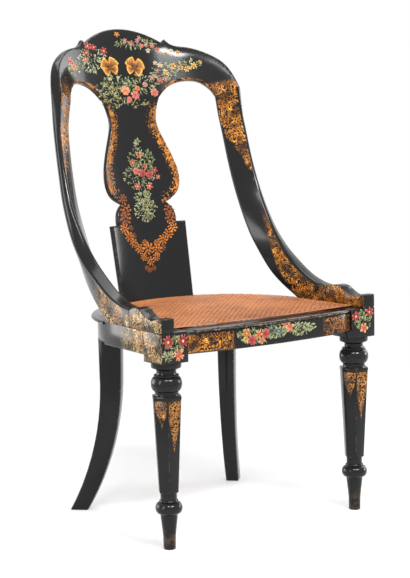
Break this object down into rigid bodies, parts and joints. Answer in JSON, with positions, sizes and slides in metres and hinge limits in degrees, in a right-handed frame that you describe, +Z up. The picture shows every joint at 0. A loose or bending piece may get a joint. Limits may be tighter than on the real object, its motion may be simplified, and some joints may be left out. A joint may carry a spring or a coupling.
{
  "type": "side chair",
  "caption": "Black-lacquered side chair with gilt and painted flowers, bowed crest, vase splat, swept stiles, caned seat, turned six-sided front legs and sabre rear legs.",
  "frame": {"origin": "middle of the chair's footprint, on the floor", "axes": "+Z up, +X towards the picture's right front leg from the middle, -Y towards the front"},
  "size_m": [0.4782, 0.4904, 0.897],
  "materials": {
    "black_lacquer": "glossy black lacquer over beech with gilt scrolls and painted flowers",
    "cane": "woven cane darkened to orange tan",
    "bare_wood": "bare beech"
  },
  "bodies": {
    "root": {"crest_rail": "black_lacquer", "stile_left": "black_lacquer", "stile_right": "black_lacquer", "scroll_foot_left": "black_lacquer", "scroll_foot_right": "black_lacquer", "splat": "black_lacquer", "seat_frame": "black_lacquer", "front_rail": "black_lacquer", "side_rail_left": "black_lacquer", "side_rail_right": "black_lacquer", "back_rail": "black_lacquer", "front_leg_left": "black_lacquer", "front_leg_right": "black_lacquer", "rear_leg_left": "black_lacquer", "rear_leg_right": "black_lacquer", "cane_panel": "cane", "cane_binding": "cane", "corner_block_front_left": "bare_wood", "corner_block_front_right": "bare_wood", "corner_block_rear_left": "bare_wood", "corner_block_rear_right": "bare_wood"}
  },
  "joints": []
}
